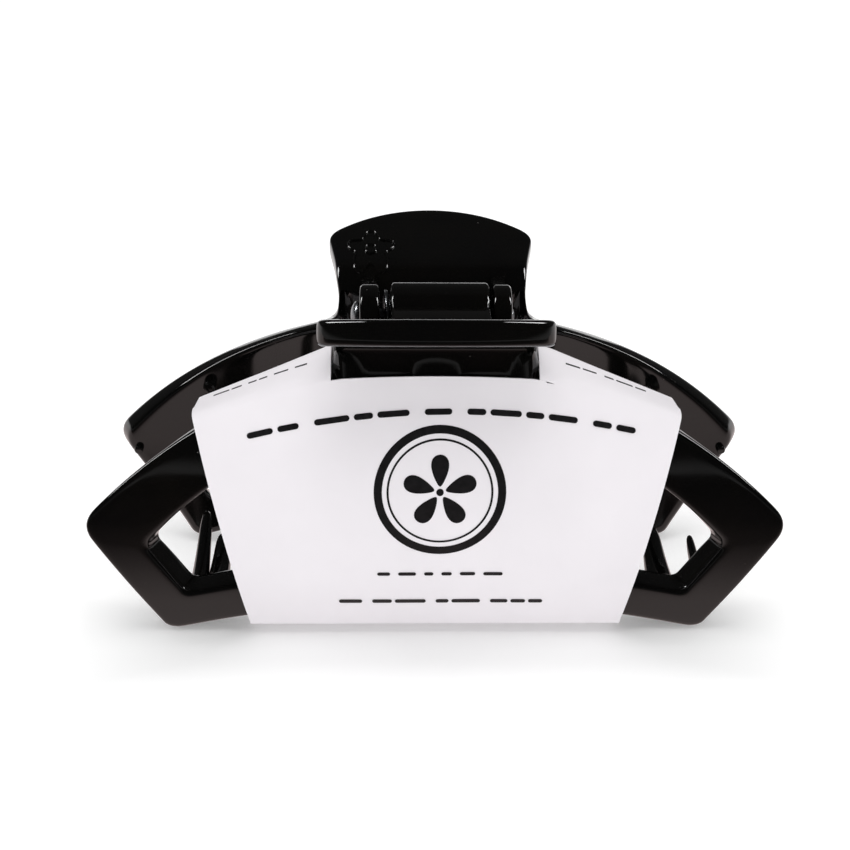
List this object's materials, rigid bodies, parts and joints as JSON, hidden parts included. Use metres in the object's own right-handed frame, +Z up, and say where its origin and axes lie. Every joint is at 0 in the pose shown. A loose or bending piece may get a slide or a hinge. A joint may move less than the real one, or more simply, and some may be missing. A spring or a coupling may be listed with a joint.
{
  "type": "hair claw clip",
  "caption": "Large claw clip that grips gathered hair between two sprung, toothed jaws opened by thumb tabs, with a blank-backed retail card sleeve folded round one jaw.",
  "frame": {"origin": "on the surface the clip stands on, midway along its length and below the hinge pin", "axes": "+X along the clip's length, +Y towards the rear jaw, +Z up towards the thumb tabs"},
  "size_m": [0.105, 0.0578, 0.0548],
  "materials": {
    "moulded_plastic": "polished black injection moulding",
    "pin_steel": "plain drawn steel",
    "spring_steel": "drawn spring wire",
    "sleeve_card": "smooth white printed card"
  },
  "bodies": {
    "front_jaw": {"front_jaw": "moulded_plastic", "hinge_pin": "pin_steel", "torsion_spring": "spring_steel", "card_sleeve": "sleeve_card"},
    "rear_jaw": {"rear_jaw": "moulded_plastic"}
  },
  "joints": [
    {"name": "jaw_hinge", "type": "hinge", "parent": "front_jaw", "child": "rear_jaw", "pos_m": [0, 0, 0.0452], "axis": [1, 0, 0], "range_deg": [0, 60], "stiffness_Nm_per_rad": 0.17, "springref_deg": -50.42, "deforming": ["torsion_spring"]}
  ]
}
